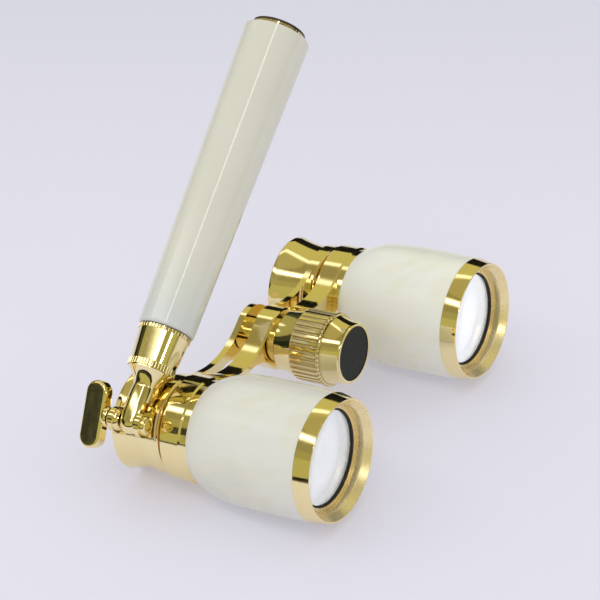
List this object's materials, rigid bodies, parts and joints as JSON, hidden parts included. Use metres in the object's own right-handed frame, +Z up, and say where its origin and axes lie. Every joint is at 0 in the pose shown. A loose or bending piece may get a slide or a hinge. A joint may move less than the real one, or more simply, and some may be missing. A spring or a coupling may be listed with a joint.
{
  "type": "opera glasses",
  "caption": "Opera glasses with mother-of-pearl barrels, gold fittings, a centre focus wheel and a folding telescopic handle with a thumb screw.",
  "frame": {"origin": "on the table under the objective rims, midway between the barrels", "axes": "+Y along the barrels towards the objectives, +Z up, +X to the side of the handle (the user's right)"},
  "size_m": [0.1153, 0.0653, 0.1041],
  "materials": {
    "gold_plate": "polished gold plate over brass",
    "mother_of_pearl": "polished white mother-of-pearl facing, as dense as a hard plastic",
    "ivory_pearl": "gloss ivory-white",
    "optical_glass": "clear, lightly coated",
    "black_anodised": "matte black",
    "white_lacquer": "white lacquer",
    "matte_black": "matte",
    "dark_cap": "gloss dark",
    "steel": "turned",
    "nylon": "natural"
  },
  "bodies": {
    "barrels": {"front_bridge": "gold_plate", "barrel_tube_right": "white_lacquer", "barrel_tube_left": "white_lacquer", "pearl_sleeve_right": "mother_of_pearl", "pearl_sleeve_left": "mother_of_pearl", "objective_bezel_right": "gold_plate", "objective_bezel_left": "gold_plate", "objective_ring_right": "black_anodised", "objective_ring_left": "black_anodised", "objective_lens_right": "optical_glass", "objective_lens_left": "optical_glass", "hub_sleeve": "steel", "wheel_retaining_ring": "steel"},
    "eyepieces": {"rear_bridge": "gold_plate", "draw_tube_right": "gold_plate", "draw_tube_left": "gold_plate", "eyecup_right": "gold_plate", "eyecup_left": "gold_plate", "eye_lens_cell_right": "black_anodised", "eye_lens_cell_left": "black_anodised", "eye_lens_right": "optical_glass", "eye_lens_left": "optical_glass", "eye_lens_ring_right": "black_anodised", "eye_lens_ring_left": "black_anodised", "lead_screw": "steel", "spindle_nut": "gold_plate", "handle_bracket": "gold_plate", "pivot_nut": "gold_plate"},
    "focus_wheel": {"focus_wheel": "gold_plate", "wheel_bead_ring": "gold_plate", "focus_nut": "gold_plate", "wheel_cap": "matte_black"},
    "handle": {"handle_tongue": "gold_plate", "collar_ring_lower": "gold_plate", "collar": "gold_plate", "collar_ring_upper": "gold_plate", "inner_tube": "gold_plate", "tube_stop_ring": "steel"},
    "sleeve": {"handle_sleeve": "ivory_pearl", "sleeve_bush": "nylon", "sleeve_end_ring": "gold_plate", "sleeve_cap": "dark_cap"},
    "thumb_screw": {"thumb_screw_shank": "gold_plate", "thumb_screw_wing": "gold_plate"}
  },
  "joints": [
    {"name": "focus_slide", "type": "slide", "parent": "barrels", "child": "eyepieces", "axis": [0, -1, 0], "range_m": [0, 0.006]},
    {"name": "focus_turn", "type": "hinge", "parent": "barrels", "child": "focus_wheel", "pos_m": [0, -0.028, 0.0238], "axis": [0, 1, 0], "range_deg": [0, 433]},
    {"name": "handle_swing", "type": "hinge", "parent": "eyepieces", "child": "handle", "pos_m": [0.0545, -0.05115, 0.02626], "axis": [0, 1, 0], "range_deg": [0, 210]},
    {"name": "sleeve_slide", "type": "slide", "parent": "handle", "child": "sleeve", "axis": [-0.7683, 0, 0.6401], "range_m": [0, 0.06]},
    {"name": "thumb_screw_turn", "type": "hinge", "parent": "eyepieces", "child": "thumb_screw", "pos_m": [0.0545, -0.05115, 0.02626], "axis": [0, -1, 0], "range_deg": [-30, 30]}
  ],
  "couplings": [
    {"joint": "focus_turn", "follows": "focus_slide", "rad_per_m": 1256.6}
  ]
}
